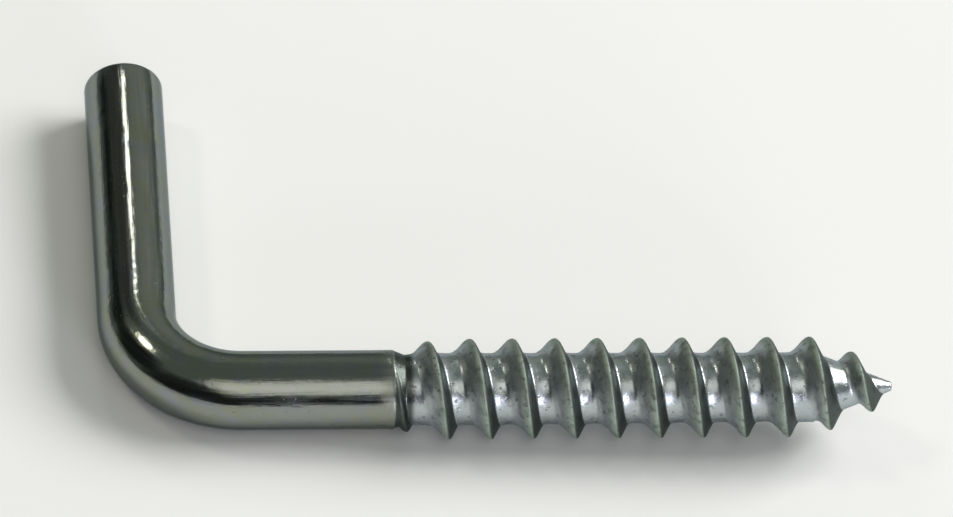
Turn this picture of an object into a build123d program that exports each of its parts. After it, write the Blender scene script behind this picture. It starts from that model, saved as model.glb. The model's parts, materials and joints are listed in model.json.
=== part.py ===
from build123d import *
import math
import os

# A square-bend screw hook: one steel wire, bent square, with a wood-screw thread rolled on one leg.
# The screw lies along X with its point towards +X, the arm runs along +Y, and the hook lies flat.
# The origin is on the screw axis, where the plain shank ends and the thread starts.
# Lengths are in millimetres and angles in degrees. A turn is one full turn of the thread.

# Bent wire
wire_diameter = 4.0
arm_reach = 21.5  # from the screw axis to the cut end of the arm
shank_length = 12.65  # from the arm's axis to the start of the thread
bend_inner_radius = 3.1
arm_end_chamfer = 0.2  # broken rim of the cut end

# Threaded core and point
thread_length = 25.35  # from the start of the thread to the tip
core_diameter = 3.74
core_taper = 0.18  # loss of core diameter between the shoulder and the point
shoulder_length = 0.45  # slope from the shank down to the core
point_length = 4.0
tip_diameter = 0.5
tip_bevel = 0.12  # broken rim of the blunt tip

# Rolled ridge of the thread
thread_diameter = 5.1
thread_pitch = 2.15
shank_flank_angle = 42.0  # lean of the flank that faces the shank, from square to the axis
point_flank_angle = 26.0  # lean of the flank that faces the point, from square to the axis
crest_width = 0.2  # flat top of the ridge where it has its full height
ridge_overlap = 0.95  # how far the ridge starts inside the plain shank
bare_tip_length = 0.4  # tip that the ridge doesn't reach
start_angle = -60.0  # where the ridge starts, turned from +Y towards +Z
run_in_turns = 1.75
run_out_turns = 0.35
start_depth = 0.12  # how far under the shank's skin the ridge starts
foot_share = 0.75  # buried foot of the ridge, as a share of the core's radius
end_share = 0.8  # buried end of the ridge's crest, as a share of the core's radius
points_per_turn = 8
slope_share = 1e-4  # small share of a turn over which a direction is taken

wire_radius = wire_diameter / 2
bend_radius = bend_inner_radius + wire_radius
core_radius = core_diameter / 2
point_radius = core_radius - core_taper / 2
point_start = thread_length - point_length
tip_radius = tip_diameter / 2
tip_start = thread_length - tip_bevel
thread_radius = thread_diameter / 2
full_height = thread_radius - core_radius * foot_share
shank_flank_slope = math.tan(math.radians(shank_flank_angle))
point_flank_slope = math.tan(math.radians(point_flank_angle))
ridge_start = -ridge_overlap
ridge_end = thread_length - bare_tip_length
ridge_turns = (ridge_end - ridge_start) / thread_pitch


def smooth_step(share):
    """0 to 1 with level ends, for a share of the way."""
    inside = min(max(share, 0), 1)
    return inside * inside * (3 - 2 * inside)


def core_radius_at(x):
    """Radius of the threaded core under the ridge, from its gentle taper to the cone of the point."""
    if x < point_start:
        return core_radius + (point_radius - core_radius) * max(x, 0) / point_start
    return point_radius + (tip_radius - point_radius) * (x - point_start) / (tip_start - point_start)


def bent_wire():
    """The plain wire from the cut end of the arm, round the bend, to the start of the thread."""
    arm_end = (-shank_length, arm_reach)
    bend_start = (-shank_length, bend_radius)
    bend_end = (bend_radius - shank_length, 0)
    arm_line = Line(arm_end, bend_start)
    bend_arc = RadiusArc(bend_start, bend_end, -bend_radius)
    shank_line = Line(bend_end, (0, 0))
    section = Plane(origin=(*arm_end, 0), z_dir=(0, -1, 0)) * Circle(wire_radius)
    wire = sweep(section, path=arm_line + bend_arc + shank_line)
    rim = wire.edges().sort_by(Axis.Y)[-1]
    return chamfer(rim, arm_end_chamfer)


def threaded_core():
    """The core turned about the screw axis: sloping shoulder, slight taper, cone and blunt tip."""
    half_section = Polyline(
        (0, 0),
        (0, wire_radius),
        (shoulder_length, core_radius),
        (point_start, point_radius),
        (tip_start, tip_radius),
        (thread_length, tip_radius - tip_bevel),
        (thread_length, 0),
        close=True,
    )
    return revolve(make_face(half_section), Axis.X)


def crest_radius_at(turn):
    """Radius of the ridge's crest: it rises out of the shank, runs level, follows the cone and sinks in."""
    core = core_radius_at(ridge_start + thread_pitch * turn)
    buried_start = wire_radius - start_depth
    buried_end = core * end_share
    full = thread_radius - max(point_radius - core, 0)
    risen = buried_start + (full - buried_start) * smooth_step(turn / run_in_turns)
    return buried_end + (risen - buried_end) * smooth_step((ridge_turns - turn) / run_out_turns)


def ridge_corners(turn):
    """The four corners of the ridge's section at a turn, on the right-hand helix about the screw axis."""
    middle = ridge_start + thread_pitch * turn
    crest = crest_radius_at(turn)
    foot = core_radius_at(middle) * foot_share
    height = crest - foot
    half_crest = crest_width / 2 * height / full_height
    outline = [
        (-half_crest - height * shank_flank_slope, foot),
        (-half_crest, crest),
        (half_crest, crest),
        (half_crest + height * point_flank_slope, foot),
    ]
    angle = math.radians(start_angle) + 2 * math.pi * turn
    return [
        Vector(middle + shift, radius * math.cos(angle), radius * math.sin(angle))
        for shift, radius in outline
    ]


def corner_directions(turn):
    """The direction in which each corner of the ridge travels at a turn, per turn of the thread."""
    before = ridge_corners(turn - slope_share)
    after = ridge_corners(turn + slope_share)
    return [(late - early) / (2 * slope_share) for early, late in zip(before, after)]


def helical_edges(first_turn, last_turn):
    """The four long edges of the ridge over one stretch, as smooth curves that run on into the next one."""
    turns = [
        first_turn + (last_turn - first_turn) * step / points_per_turn
        for step in range(points_per_turn + 1)
    ]
    corner_paths = zip(*[ridge_corners(turn) for turn in turns])
    directions = zip(corner_directions(first_turn), corner_directions(last_turn))
    return [
        Edge.make_spline(list(path), tangents=ends, parameters=turns, scale=False)
        for path, ends in zip(corner_paths, directions)
    ]


def thread_ridge():
    """The ridge as a closed solid: flanks, crest and buried foot ruled between its edges, turn by turn."""
    stretches = math.ceil(ridge_turns)
    cuts = [ridge_turns * stretch / stretches for stretch in range(stretches + 1)]
    faces = [
        make_face(Polyline(*ridge_corners(turn), close=True)).face() for turn in (cuts[0], cuts[-1])
    ]
    for first_turn, last_turn in zip(cuts, cuts[1:]):
        edges = helical_edges(first_turn, last_turn)
        for one, other in zip(edges, edges[1:] + edges[:1]):
            faces.append(Face.make_surface_from_curves(one, other))
    return Solid(Shell(faces))


screw_hook = bent_wire() + threaded_core() + thread_ridge()

os.makedirs("parts", exist_ok=True)
export_step(screw_hook, "parts/screw_hook.step")
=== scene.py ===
import json
import math

import bmesh
import bpy
import numpy as np
from mathutils import Matrix, Vector


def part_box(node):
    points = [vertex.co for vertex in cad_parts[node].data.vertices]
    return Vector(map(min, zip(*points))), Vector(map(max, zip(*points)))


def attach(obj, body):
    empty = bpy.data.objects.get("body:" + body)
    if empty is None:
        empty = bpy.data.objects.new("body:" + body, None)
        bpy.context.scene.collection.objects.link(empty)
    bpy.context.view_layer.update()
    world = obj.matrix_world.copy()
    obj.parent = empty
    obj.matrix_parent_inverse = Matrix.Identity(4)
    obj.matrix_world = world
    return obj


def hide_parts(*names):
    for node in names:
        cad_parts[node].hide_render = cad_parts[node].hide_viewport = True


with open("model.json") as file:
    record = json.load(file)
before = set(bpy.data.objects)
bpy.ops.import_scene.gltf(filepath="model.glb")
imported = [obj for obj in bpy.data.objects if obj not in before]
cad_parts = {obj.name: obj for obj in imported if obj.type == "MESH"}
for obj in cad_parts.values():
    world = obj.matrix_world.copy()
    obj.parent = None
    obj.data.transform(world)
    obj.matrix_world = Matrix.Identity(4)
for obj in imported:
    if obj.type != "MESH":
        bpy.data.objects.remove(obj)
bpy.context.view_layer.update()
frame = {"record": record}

# The screw hook as one closed skin: it is shaped as a straight wire first, along X from the cut end to the
# tip, and the plain end is then bent square. Sizes are in metres, angles in degrees.

hook_low, hook_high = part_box("screw_hook")
arm_mount = next(mount for mount in frame["record"]["mounts"] if mount["name"] == "hook_arm")
MM = 0.001

# Bent wire
wire_radius = arm_mount["dims"]["r_mm"] * MM
arm_axis_x = arm_mount["pos_m"][0]
bend_radius = 5.1 * MM  # to the axis of the wire
arm_length = hook_high.y - bend_radius
shank_length = -arm_axis_x - bend_radius
bend_length = bend_radius * math.pi / 2
wire_start_x = -(arm_length + bend_length + shank_length)
rim_round = 0.22 * MM

# Threaded core and point
core_radius = 1.87 * MM
point_radius = 1.78 * MM
neck_radius = 1.75 * MM
shoulder_start_x = 0.05 * MM
neck_x = 0.65 * MM
neck_end_x = 2.2 * MM
# The thread's finish starts here so that its painted shade darkens the slope of the shoulder
thread_finish_x = 0.12 * MM  # from here on the skin has the finish of the thread
point_length = 4.0 * MM
tip_x = hook_high.x
point_x = tip_x - point_length
tip_radius = 0.27 * MM
tip_round = 0.14 * MM

# Rolled ridge
crest_radius = hook_high.z
pitch = 2.15 * MM
crest_width = 0.2 * MM
shank_flank_slope = math.tan(math.radians(42.0))
point_flank_slope = math.tan(math.radians(26.0))
crest_blend = 0.18 * MM
shank_foot_blend = 0.3 * MM
point_foot_blend = 0.2 * MM
start_blend = 0.1 * MM
land_dip = 0.05 * MM  # hollow along the land between two turns
land_width = 1.0 * MM
land_shift = 0.93 * MM  # from the crest to the middle of the land
bare_tip_length = 0.4 * MM
ridge_start_x = -0.95 * MM
ridge_end_x = tip_x - bare_tip_length
ridge_start_angle = math.radians(-60.0)
run_in_turns = 1.75
run_out_turns = 0.35
start_depth = 0.12 * MM
end_share = 0.8

# Fineness of the skin
sides = 96
lanes_per_pitch = 44
bend_steps = 48
straight_steps = 16
round_steps = 6
face_rings = 5
skin_lead = 0.3 * MM  # how far the lanes start ahead of the ridge
weld_distance = 1e-7

ridge_turns = (ridge_end_x - ridge_start_x) / pitch
skin_start_x = ridge_start_x - skin_lead
skin_end_x = tip_x - tip_round


def smooth_step(share):
    """0 to 1 with level ends, for a share of the way."""
    inside = np.clip(share, 0, 1)
    return inside * inside * (3 - 2 * inside)


def smooth_max(one, other, blend):
    """The larger of two heights, with a fillet where they meet."""
    share = np.clip(0.5 + 0.5 * (one - other) / blend, 0, 1)
    return other + (one - other) * share + blend * share * (1 - share)


def core_radius_at(x):
    """Radius of the wire without its ridge: shank, shoulder, gentle taper and cone."""
    stops = [shoulder_start_x, neck_x, neck_end_x, point_x, skin_end_x]
    return np.interp(x, stops, [wire_radius, neck_radius, core_radius, point_radius, tip_radius])


def crest_radius_at(turn):
    """Radius of the ridge's crest: it rises out of the shank, runs level, follows the cone and sinks in."""
    core = np.minimum(core_radius_at(ridge_start_x + pitch * turn), core_radius)
    full = crest_radius - np.maximum(point_radius - core, 0)
    start = wire_radius - start_depth
    risen = start + (full - start) * smooth_step(turn / run_in_turns)
    end = core * end_share
    return end + (risen - end) * smooth_step((ridge_turns - turn) / run_out_turns)


def ridge_radius_at(shift, turn):
    """Radius of the ridge at an axial shift from its crest, with a rounded crest and leaning flanks."""
    half = crest_width / 2
    to_shank = (-shift - half) / shank_flank_slope
    to_point = (shift - half) / point_flank_slope
    drop = smooth_max(smooth_max(to_shank, to_point, crest_blend), 0 * shift, crest_blend)
    return crest_radius_at(turn) - drop


def grid_faces(rows, columns, index):
    """Four-cornered faces between neighbouring rows and columns of vertices."""
    return [
        (index(row, column), index(row + 1, column), index(row + 1, column + 1), index(row, column + 1))
        for row in range(rows)
        for column in range(columns)
    ]


def round_section(x, radius, angle):
    """Points of the straight wire for places along it, radii and angles from +Y towards +Z."""
    return np.stack([x + 0 * angle, radius * np.cos(angle), radius * np.sin(angle)], axis=-1)


def turned_skin(profile):
    """The skin of a turned stretch, from a profile of (x, radius) pairs."""
    angles = ridge_start_angle + 2 * math.pi * np.arange(sides) / sides
    points = np.concatenate([round_section(x, radius, angles) for x, radius in profile])
    faces = grid_faces(len(profile) - 1, sides, lambda row, column: row * sides + column % sides)
    return points, faces, np.zeros((len(points), 2))


def rounded_corner(x, radius, size, towards_end):
    """A quarter round between a flat end at x and a wall of this radius, as (x, radius) pairs."""
    angles = np.linspace(0, math.pi / 2, round_steps + 1)
    inward = -1 if towards_end else 1
    return [(x + inward * size * (1 - math.cos(a)), radius - size * (1 - math.sin(a))) for a in angles]


def plain_wire_skin():
    """The cut end with its rounded rim and the plain wire as far as the start of the thread."""
    flat_radius = wire_radius - rim_round
    face = [(wire_start_x, flat_radius * ring / face_rings) for ring in range(face_rings)]
    rim = rounded_corner(wire_start_x, wire_radius, rim_round, False)
    bend_start_x = wire_start_x + arm_length
    bend_end_x = bend_start_x + bend_length
    arm = np.linspace(rim[-1][0], bend_start_x, straight_steps)[1:]
    bend = np.linspace(bend_start_x, bend_end_x, bend_steps)[1:]
    shank = np.linspace(bend_end_x, skin_start_x, straight_steps)[1:]
    wall = [(x, wire_radius) for x in np.concatenate([arm, bend, shank])]
    return turned_skin(face + rim + wall)


def tip_skin():
    """The rounded blunt tip that closes the cone."""
    wall = rounded_corner(tip_x, tip_radius, tip_round, True)[::-1]
    flat_radius = wall[-1][1]
    face = [(tip_x, flat_radius * ring / face_rings) for ring in range(face_rings)][::-1]
    return turned_skin(wall + face)


def thread_skin():
    """The threaded stretch, in lanes that follow the helix, so that each crest is one clean line."""
    first_turn = math.floor((skin_start_x - ridge_start_x) / pitch) - 1
    last_turn = math.ceil((skin_end_x - ridge_start_x) / pitch) + 2
    steps = sides * (last_turn - first_turn)
    step = np.arange(steps + 1)[:, None]
    lane = np.arange(lanes_per_pitch)[None, :]
    turn = first_turn + step / sides
    crest_x = ridge_start_x + pitch * turn
    x = np.clip(crest_x + pitch * (lane / lanes_per_pitch - 0.5), skin_start_x, skin_end_x)
    angle = ridge_start_angle + 2 * math.pi * turn + 0 * x
    core = core_radius_at(x)
    from_land = (crest_x - x + land_shift + pitch / 2) % pitch - pitch / 2
    hollow = np.clip(1 - (2 * from_land / land_width) ** 2, 0, 1)
    reach = smooth_step((x - neck_x) / pitch) * smooth_step((point_x - x) / pitch)
    radius = core - land_dip * hollow * reach
    for other in (-1, 0, 1):
        shift = x - crest_x - other * pitch
        ridge = ridge_radius_at(shift, turn + other)
        full_blend = np.where(shift < 0, shank_foot_blend, point_foot_blend)
        blend = start_blend + (full_blend - start_blend) * smooth_step((turn + other) / run_in_turns)
        radius = radius + smooth_max(ridge, core, blend) - core
    height = np.clip((radius - core) / (crest_radius - core_radius), 0, 1)
    points = round_section(x, radius, angle).reshape(-1, 3)

    def index(row, column):
        return (row + sides * (column // lanes_per_pitch)) * lanes_per_pitch + column % lanes_per_pitch

    faces = grid_faces(steps - sides, lanes_per_pitch, index)
    side = lane / lanes_per_pitch - 0.5 + 0 * x
    return points, faces, np.stack([height.ravel(), side.ravel()], axis=-1)


def bent(points):
    """Bends the straight wire square: the shank stays on X and the arm comes to lie along +Y."""
    x, y, z = points.T
    past_shank = np.clip(-shank_length - x, 0, bend_length)
    past_bend = np.clip(-shank_length - bend_length - x, 0, None)
    angle = past_shank / bend_radius
    along = np.maximum(x, -shank_length)
    reach = bend_radius - y
    moved_x = along - reach * np.sin(angle)
    moved_y = bend_radius - reach * np.cos(angle) + past_bend
    return np.stack([moved_x, moved_y, z], axis=-1)


def screw_hook_mesh():
    """All stretches of the skin welded into one closed mesh, with what the finishes need to know."""
    points, faces, ridge = [], [], []
    for part_points, part_faces, part_ridge in (plain_wire_skin(), thread_skin(), tip_skin()):
        offset = sum(len(some) for some in points)
        faces += [[offset + corner for corner in face] for face in part_faces]
        points.append(part_points)
        ridge.append(part_ridge)
    straight = np.concatenate(points)
    mesh = bpy.data.meshes.new("screw_hook_skin")
    mesh.from_pydata(straight.tolist(), [], faces)
    for name, values in zip(("ridge_height", "ridge_side"), np.concatenate(ridge).T):
        made = mesh.attributes.new(name, "FLOAT", "POINT")
        made.data.foreach_set("value", values.astype(np.float32))
    work = bmesh.new()
    work.from_mesh(mesh)
    bmesh.ops.remove_doubles(work, verts=work.verts, dist=weld_distance)
    bmesh.ops.recalc_face_normals(work, faces=work.faces)
    work.to_mesh(mesh)
    work.free()
    co = np.zeros(len(mesh.vertices) * 3)
    mesh.vertices.foreach_get("co", co)
    straight = co.reshape(-1, 3)
    place = mesh.attributes.new("straight_place", "FLOAT_VECTOR", "POINT")
    place.data.foreach_set("vector", (straight / MM).astype(np.float32).ravel())
    mesh.vertices.foreach_set("co", bent(straight).ravel())
    mesh.update()
    mesh.polygons.foreach_set("use_smooth", [True] * len(mesh.polygons))
    return mesh


# Finishes
grey_zinc = (0.26, 0.28, 0.255, 1)
olive_zinc = (0.25, 0.268, 0.213, 1)
blue_zinc = (0.24, 0.262, 0.276, 1)
lilac_zinc = (0.27, 0.272, 0.282, 1)
pale_thread = (0.55, 0.61, 0.64, 1)
green_ridge = (0.38, 0.45, 0.38, 1)
# Dark colour for the painted shade on the point-facing flanks and at the neck, and for the grime mottled
# over the flanks
shade_and_grime_dark = (0.045, 0.055, 0.045, 1)
dark_speck = (0.1, 0.1, 0.095, 1)
edge_tint = (0.5, 0.54, 0.57, 1)

# Grain of the finishes, per millimetre
broad_clouds = 0.42
small_clouds = 1.5
tiny_clouds = 3.1
wire_waves = 1.7
thread_mottle = 1.9
along_stretch = 0.05  # grain of the drawn marks along the wire, as a share of that across it

# Range of the noise over which each effect comes in
mark_range = (0.32, 0.68)
olive_range = (0.4, 0.62)
blue_range = (0.48, 0.68)
lilac_range = (0.45, 0.8)
grime_range = (0.48, 0.72)
gloss_range = (0.3, 0.7)
pit_edge = 0.09

# Depth of the relief in the finishes
mark_depth = 0.0018 * MM
wave_depth = 0.012 * MM
speck_depth = 0.0015 * MM
mottle_depth = 0.03 * MM
thread_pit_depth = 0.006 * MM
end_pit_depth = 0.01 * MM

# Roughness from the glossiest to the dullest places, and what certain places add to it
wire_roughness = (0.1, 0.19)
thread_roughness = (0.24, 0.38)
end_roughness = (0.3, 0.5)
speck_roughness = 0.3
shoulder_roughness = 0.2
foot_roughness = 0.12
crest_roughness = 0.14
pit_roughness = 0.15

# Where the finishes change: millimetres along the wire, shares of the ridge's height and of the pitch
shoulder_dull_mm = (-1.0, 0.1)
# Painted shade on the shoulder and neck fades out between these places along the wire
neck_shade_mm = (0.85, 1.2)
foot_heights = (0.0, 0.03)
flank_heights = (0.02, 0.25)
crest_heights = (0.5, 0.95)
point_side = (-0.01, 0.05)

# How strongly the colours of the thread cover what is under them
land_paleness = 0.65
crest_greenness = 0.8
# Painted shade: how strongly the point-facing flank of each ridge is darkened as if it lay in shadow
point_flank_shade = 0.84
# Painted shade: how strongly the shoulder and neck at the start of the thread are darkened as if in a
# shaded groove
neck_shade = 0.9
grime_most = 0.45
pit_darkness = 0.55


def add_node(tree, kind, inputs=None, **settings):
    """A node with its settings and with values on its input sockets."""
    node = tree.nodes.new(kind)
    for name, value in settings.items():
        setattr(node, name, value)
    for name, value in (inputs or {}).items():
        if isinstance(value, bpy.types.NodeSocket):
            tree.links.new(value, node.inputs[name])
        else:
            node.inputs[name].default_value = value
    return node


def effect_group(name, inputs, output, output_kind):
    """An empty node group with a place, some plain numbers as inputs and one output."""
    group = bpy.data.node_groups.new(name, "ShaderNodeTree")
    group.interface.new_socket("Place", in_out="INPUT", socket_type="NodeSocketVector")
    for label, value in inputs.items():
        made = group.interface.new_socket(label, in_out="INPUT", socket_type="NodeSocketFloat")
        made.default_value = value
    group.interface.new_socket(output, in_out="OUTPUT", socket_type=output_kind)
    return group, add_node(group, "NodeGroupInput").outputs, add_node(group, "NodeGroupOutput").inputs


def noise(tree, place, scale, detail=2.0, roughness=0.5):
    """A noise value from 0 to 1, with its grain counted per millimetre."""
    inputs = {"Vector": place, "Scale": scale, "Detail": detail, "Roughness": roughness}
    return add_node(tree, "ShaderNodeTexNoise", inputs).outputs["Fac"]


def remap(tree, value, low, high, to_low=0.0, to_high=1.0):
    """A value carried smoothly from one range over to another, and held at both ends."""
    inputs = {"Value": value, "From Min": low, "From Max": high, "To Min": to_low, "To Max": to_high}
    return add_node(tree, "ShaderNodeMapRange", inputs, interpolation_type="SMOOTHSTEP").outputs["Result"]


def combined(tree, one, other, operation="ADD"):
    """Two values added up, or put together by another operation."""
    return add_node(tree, "ShaderNodeMath", {0: one, 1: other}, operation=operation).outputs["Value"]


def mixed(tree, share, one, other):
    """One colour going over into another."""
    node = add_node(tree, "ShaderNodeMix", data_type="RGBA")
    for name, value in (("Factor_Float", share), ("A_Color", one), ("B_Color", other)):
        target = next(socket for socket in node.inputs if socket.identifier == name)
        if isinstance(value, bpy.types.NodeSocket):
            tree.links.new(value, target)
        else:
            target.default_value = value
    return next(socket for socket in node.outputs if socket.identifier == "Result_Color")


def drawn_marks_group():
    """Fine marks along the wire from drawing it through the die."""
    group, given, result = effect_group("drawn_marks", {"Per Mm": 9.0}, "Marks", "NodeSocketFloat")
    stretch = (along_stretch, 1.0, 1.0)
    place = add_node(group, "ShaderNodeVectorMath", {0: given["Place"], 1: stretch}, operation="MULTIPLY")
    fine = noise(group, place.outputs["Vector"], given["Per Mm"], 3.0, 0.6)
    group.links.new(remap(group, fine, *mark_range), result["Marks"])
    return group


def plating_shades_group():
    """Zinc plating that wanders between grey, olive, blue-grey and lilac."""
    group, given, result = effect_group("plating_shades", {"Cloud Size": 1.0}, "Colour", "NodeSocketColor")
    broad = noise(group, given["Place"], combined(group, broad_clouds, given["Cloud Size"], "DIVIDE"), 3.0)
    small = noise(group, given["Place"], combined(group, small_clouds, given["Cloud Size"], "DIVIDE"), 3.0)
    tiny = noise(group, given["Place"], combined(group, tiny_clouds, given["Cloud Size"], "DIVIDE"), 2.0)
    olive = mixed(group, remap(group, broad, *olive_range), grey_zinc, olive_zinc)
    blue = mixed(group, remap(group, small, *blue_range), olive, blue_zinc)
    lilac = mixed(group, remap(group, tiny, *lilac_range), blue, lilac_zinc)
    group.links.new(lilac, result["Colour"])
    return group


def pits_group():
    """Small dull pits and specks in the plating."""
    inputs = {"Per Mm": 5.0, "Rarity": 0.62}
    group, given, result = effect_group("plating_pits", inputs, "Pits", "NodeSocketFloat")
    grain = noise(group, given["Place"], given["Per Mm"], 2.0, 0.6)
    full = combined(group, given["Rarity"], pit_edge)
    group.links.new(remap(group, grain, given["Rarity"], full), result["Pits"])
    return group


drawn_marks = drawn_marks_group()
plating_shades = plating_shades_group()
plating_pits = pits_group()


def effect(tree, group, inputs):
    """A use of a shared effect, as its one output."""
    return add_node(tree, "ShaderNodeGroup", inputs, node_tree=group).outputs[0]


def attribute(tree, name, output):
    """What the points of the skin know under this name."""
    return add_node(tree, "ShaderNodeAttribute", attribute_name=name).outputs[output]


def metal(name):
    """A new material with its node tree, its metal shader and the place on the straight wire."""
    material = bpy.data.materials.new(name)
    material.use_nodes = True
    tree = material.node_tree
    shader = tree.nodes["Principled BSDF"]
    shader.inputs["Metallic"].default_value = 1
    shader.inputs["Specular Tint"].default_value = edge_tint
    return material, tree, shader.inputs, attribute(tree, "straight_place", "Vector")


def bump(tree, height, depth, below=None):
    """A relief of this depth, on top of another relief if there is one."""
    inputs = {"Height": height, "Distance": depth, "Strength": 1.0}
    if below is not None:
        inputs["Normal"] = below
    return add_node(tree, "ShaderNodeBump", inputs).outputs["Normal"]


def bright_wire():
    """The drawn wire under bright zinc: glossy, with faint waves, lengthwise marks and a few specks."""
    material, tree, shader, place = metal("bright_zinc_wire")
    marks = effect(tree, drawn_marks, {"Place": place, "Per Mm": 7.0})
    pits = effect(tree, plating_pits, {"Place": place, "Per Mm": 6.0, "Rarity": 0.68})
    shades = effect(tree, plating_shades, {"Place": place, "Cloud Size": 1.6})
    tree.links.new(mixed(tree, pits, shades, dark_speck), shader["Base Color"])
    along = add_node(tree, "ShaderNodeSeparateXYZ", {"Vector": place}).outputs["X"]
    near_thread = remap(tree, along, *shoulder_dull_mm, 0.0, shoulder_roughness)
    dull = combined(tree, combined(tree, pits, speck_roughness, "MULTIPLY"), near_thread)
    gloss = remap(tree, marks, 0.0, 1.0, *wire_roughness)
    tree.links.new(combined(tree, gloss, dull), shader["Roughness"])
    waves = noise(tree, place, wire_waves)
    marked = bump(tree, marks, mark_depth, bump(tree, waves, wave_depth))
    specked = bump(tree, combined(tree, 1.0, pits, "SUBTRACT"), speck_depth, marked)
    tree.links.new(specked, shader["Normal"])
    return material


def rolled_thread():
    """The rolled thread: dull and mottled, with painted shade at the neck and on the flanks facing the
    point, green on its crest.
    """
    material, tree, shader, place = metal("dull_zinc_thread")
    height = attribute(tree, "ridge_height", "Fac")
    shades = effect(tree, plating_shades, {"Place": place, "Cloud Size": 0.75})
    pits = effect(tree, plating_pits, {"Place": place, "Per Mm": 3.2, "Rarity": 0.6})
    side = attribute(tree, "ridge_side", "Fac")
    on_foot = remap(tree, height, *foot_heights)
    on_flank = remap(tree, height, *flank_heights)
    on_crest = remap(tree, height, *crest_heights)
    foot = combined(tree, on_foot, remap(tree, side, *point_side), "MULTIPLY")
    land = mixed(tree, land_paleness, shades, pale_thread)
    pale = mixed(tree, combined(tree, on_crest, crest_greenness, "MULTIPLY"), land, green_ridge)
    along = add_node(tree, "ShaderNodeSeparateXYZ", {"Vector": place}).outputs["X"]
    # Painted shade: the flanks facing the point are darkened as if in shadow
    at_foot = combined(tree, foot, point_flank_shade, "MULTIPLY")
    # Painted shade: the shoulder and neck are darkened as if in a shaded groove
    at_neck = combined(tree, remap(tree, along, *neck_shade_mm, 1.0, 0.0), neck_shade, "MULTIPLY")
    painted_shade = combined(tree, at_foot, at_neck, "MAXIMUM")
    mottle = noise(tree, place, thread_mottle, 3.0, 0.55)
    grime = combined(tree, on_flank, remap(tree, mottle, *grime_range, 0.0, grime_most), "MULTIPLY")
    # The painted shade and the mottled grime both darken the thread towards the same dark colour
    shaded_and_grimed = mixed(tree, combined(tree, painted_shade, grime, "MAXIMUM"), pale, shade_and_grime_dark)
    specks = combined(tree, pits, pit_darkness, "MULTIPLY")
    tree.links.new(mixed(tree, specks, shaded_and_grimed, dark_speck), shader["Base Color"])
    gloss = remap(tree, mottle, *gloss_range, *thread_roughness)
    on_ridge = combined(tree, on_crest, crest_roughness, "MULTIPLY")
    dull = combined(tree, combined(tree, on_foot, foot_roughness, "MULTIPLY"), on_ridge)
    dull = combined(tree, dull, combined(tree, pits, pit_roughness, "MULTIPLY"))
    tree.links.new(combined(tree, gloss, dull), shader["Roughness"])
    rolled = bump(tree, mottle, mottle_depth)
    pitted = bump(tree, combined(tree, 1.0, pits, "SUBTRACT"), thread_pit_depth, rolled)
    tree.links.new(pitted, shader["Normal"])
    return material


def cut_end():
    """The sheared end of the wire: dull and pitted."""
    material, tree, shader, place = metal("sheared_zinc_end")
    shades = effect(tree, plating_shades, {"Place": place, "Cloud Size": 1.0})
    pits = effect(tree, plating_pits, {"Place": place, "Per Mm": 3.0, "Rarity": 0.6})
    tree.links.new(mixed(tree, pits, shades, dark_speck), shader["Base Color"])
    tree.links.new(remap(tree, pits, 0.0, 1.0, *end_roughness), shader["Roughness"])
    tree.links.new(bump(tree, combined(tree, 1.0, pits, "SUBTRACT"), end_pit_depth), shader["Normal"])
    return material


def finish_by_place(mesh):
    """Gives the cut end, the plain wire and the thread their own finish."""
    for finish in (bright_wire(), rolled_thread(), cut_end()):
        mesh.materials.append(finish)
    wire_index, thread_index, end_index = range(3)
    end_depth = rim_round / 4
    place = np.zeros(len(mesh.vertices) * 3, np.float32)
    mesh.attributes["straight_place"].data.foreach_get("vector", place)
    along = place.reshape(-1, 3)[:, 0] * MM
    for face in mesh.polygons:
        middle = along[list(face.vertices)].mean()
        if middle < wire_start_x + end_depth:
            face.material_index = end_index
        else:
            face.material_index = thread_index if middle > thread_finish_x else wire_index


hook = bpy.data.objects.new("bent_screw_wire", screw_hook_mesh())
bpy.context.scene.collection.objects.link(hook)
finish_by_place(hook.data)
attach(hook, "root")
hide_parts("screw_hook")

# Floor
floor_size = 3.0
floor_colour = (0.94, 0.94, 0.94, 1)
floor_roughness = 0.9
full_crest_x = 3.14 * MM  # about where the first crest of full height is lowest
contact_arm = Vector((arm_axis_x, 0, -wire_radius))
contact_crest = Vector((full_crest_x, 0, hook_low.z))


def floor():
    """A pale plane that the arm and the first full crest rest on."""
    mesh = bpy.data.meshes.new("pale_floor")
    half = floor_size / 2
    corners = [(-half, -half, 0), (half, -half, 0), (half, half, 0), (-half, half, 0)]
    mesh.from_pydata(corners, [], [(0, 1, 2, 3)])
    plane = bpy.data.objects.new("pale_floor", mesh)
    bpy.context.scene.collection.objects.link(plane)
    slope = contact_crest - contact_arm
    plane.location = contact_arm
    plane.rotation_euler = (0, -math.atan2(slope.z, slope.x), 0)
    material = bpy.data.materials.new("pale_floor")
    material.use_nodes = True
    shader = material.node_tree.nodes["Principled BSDF"]
    shader.inputs["Base Color"].default_value = floor_colour
    shader.inputs["Roughness"].default_value = floor_roughness
    mesh.materials.append(material)


floor()

# Camera
camera_elevation = math.radians(45.488)
camera_yaw = math.radians(5.725)
camera_roll = math.radians(-3.741)
frame_width = 48.4 * MM
aim = Vector((4.81 * MM, 9.215 * MM, 0))
lens_mm = 850.0
sensor_mm = 36.0
farthest_seen = 10.0


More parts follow.
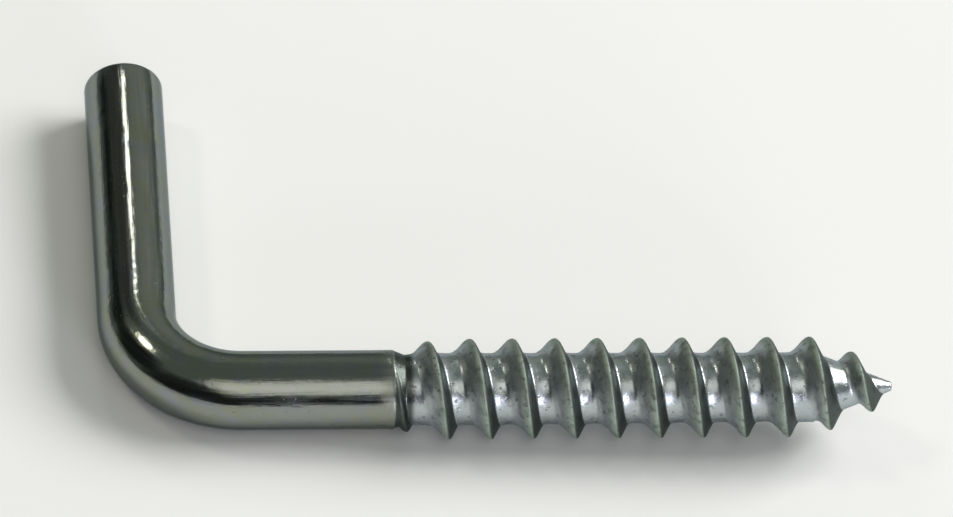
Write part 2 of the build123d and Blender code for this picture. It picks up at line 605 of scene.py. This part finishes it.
def camera():
    """A long lens that looks down on the hook from the front, a little turned and rolled."""
    right = Vector((math.cos(camera_yaw), -math.sin(camera_yaw), 0))
    ahead = Vector((math.sin(camera_yaw), math.cos(camera_yaw), 0))
    forward = ahead * math.cos(camera_elevation) - Vector((0, 0, math.sin(camera_elevation)))
    up = ahead * math.sin(camera_elevation) + Vector((0, 0, math.cos(camera_elevation)))
    image_right = right * math.cos(camera_roll) - up * math.sin(camera_roll)
    image_up = right * math.sin(camera_roll) + up * math.cos(camera_roll)
    data = bpy.data.cameras.new("photo_view")
    data.lens = lens_mm
    data.sensor_width = sensor_mm
    data.clip_end = farthest_seen
    seen = bpy.data.objects.new("photo_view", data)
    distance = frame_width * lens_mm / sensor_mm
    seen.matrix_world = Matrix.Translation(aim - forward * distance) @ Matrix(
        (image_right, image_up, -forward)
    ).transposed().to_4x4()
    bpy.context.scene.collection.objects.link(seen)
    bpy.context.scene.camera = seen


camera()

# Light
lit_middle = Vector((5 * MM, 8 * MM, 0))


def out_towards(azimuth, elevation):
    """Unit direction from the hook: azimuth from straight back towards the tip, elevation upwards."""
    turn, rise = math.radians(azimuth), math.radians(elevation)
    return Vector((math.sin(turn) * math.cos(rise), math.cos(turn) * math.cos(rise), math.sin(rise)))


def soft_box(name, azimuth, elevation, distance, width, height, brightness, colour):
    """A rectangular lamp that faces the middle of the hook."""
    data = bpy.data.lights.new(name, "AREA")
    data.shape = "RECTANGLE"
    data.size = width
    data.size_y = height
    data.energy = brightness * math.pi * width * height
    data.color = colour
    lamp = bpy.data.objects.new(name, data)
    out = out_towards(azimuth, elevation)
    lamp.location = lit_middle + out * distance
    lamp.rotation_euler = out.to_track_quat("Z", "Y").to_euler()
    bpy.context.scene.collection.objects.link(lamp)


soft_box(
    "back_strip", azimuth=-15.5, elevation=42, distance=0.11,
    width=0.0078, height=0.016, brightness=10, colour=(1, 0.965, 0.87),
)
soft_box(
    "left_lamp", azimuth=-66, elevation=51, distance=0.8,
    width=0.14, height=0.09, brightness=12, colour=(1, 0.95, 0.8),
)
soft_box(
    "low_front_lamp", azimuth=158, elevation=8, distance=0.8,
    width=0.24, height=0.26, brightness=11, colour=(0.9, 0.87, 1),
)
soft_box(
    "right_soft_box", azimuth=76, elevation=37, distance=0.8,
    width=0.62, height=0.44, brightness=7.4, colour=(1, 0.985, 0.97),
)


def surroundings():
    """A dim grey-green room: pale above the camera, lighter at the back right, dark low down and left."""
    world = bpy.data.worlds.new("grey_green_room")
    bpy.context.scene.world = world
    world.use_nodes = True
    tree = world.node_tree
    towards = add_node(tree, "ShaderNodeTexCoord").outputs["Generated"]

    def patch(azimuth, elevation, inner, outer):
        """1 within the inner angle from a direction, falling to 0 at the outer angle."""
        inputs = {0: towards, 1: out_towards(azimuth, elevation)}
        closeness = add_node(tree, "ShaderNodeVectorMath", inputs, operation="DOT_PRODUCT").outputs["Value"]
        return remap(tree, closeness, math.cos(math.radians(outer)), math.cos(math.radians(inner)))

    room = (0.175, 0.205, 0.187, 1)
    dark = (0.018, 0.022, 0.02, 1)
    dim = (0.075, 0.079, 0.069, 1)
    over_camera = (1.45, 1.41, 1.31, 1)
    back_right = (0.36, 0.385, 0.33, 1)
    # Colour, azimuth, elevation, inner and outer angle of each place in the room
    places = [
        (over_camera, 180, 51, 2, 27),
        (back_right, 30, 30, 8, 30),
        (dark, 180, 0, 16, 34),
        (dark, -140, 8, 25, 48),
        (dark, -85, 28, 14, 28),
        (dark, -50, 22, 8, 18),
        (dim, -28, 37, 9, 17),
    ]
    sky = room
    for colour, azimuth, elevation, inner, outer in places:
        sky = mixed(tree, patch(azimuth, elevation, inner, outer), sky, colour)
    tree.links.new(sky, tree.nodes["Background"].inputs["Color"])


surroundings()
bpy.context.scene.view_settings.view_transform = "Standard"
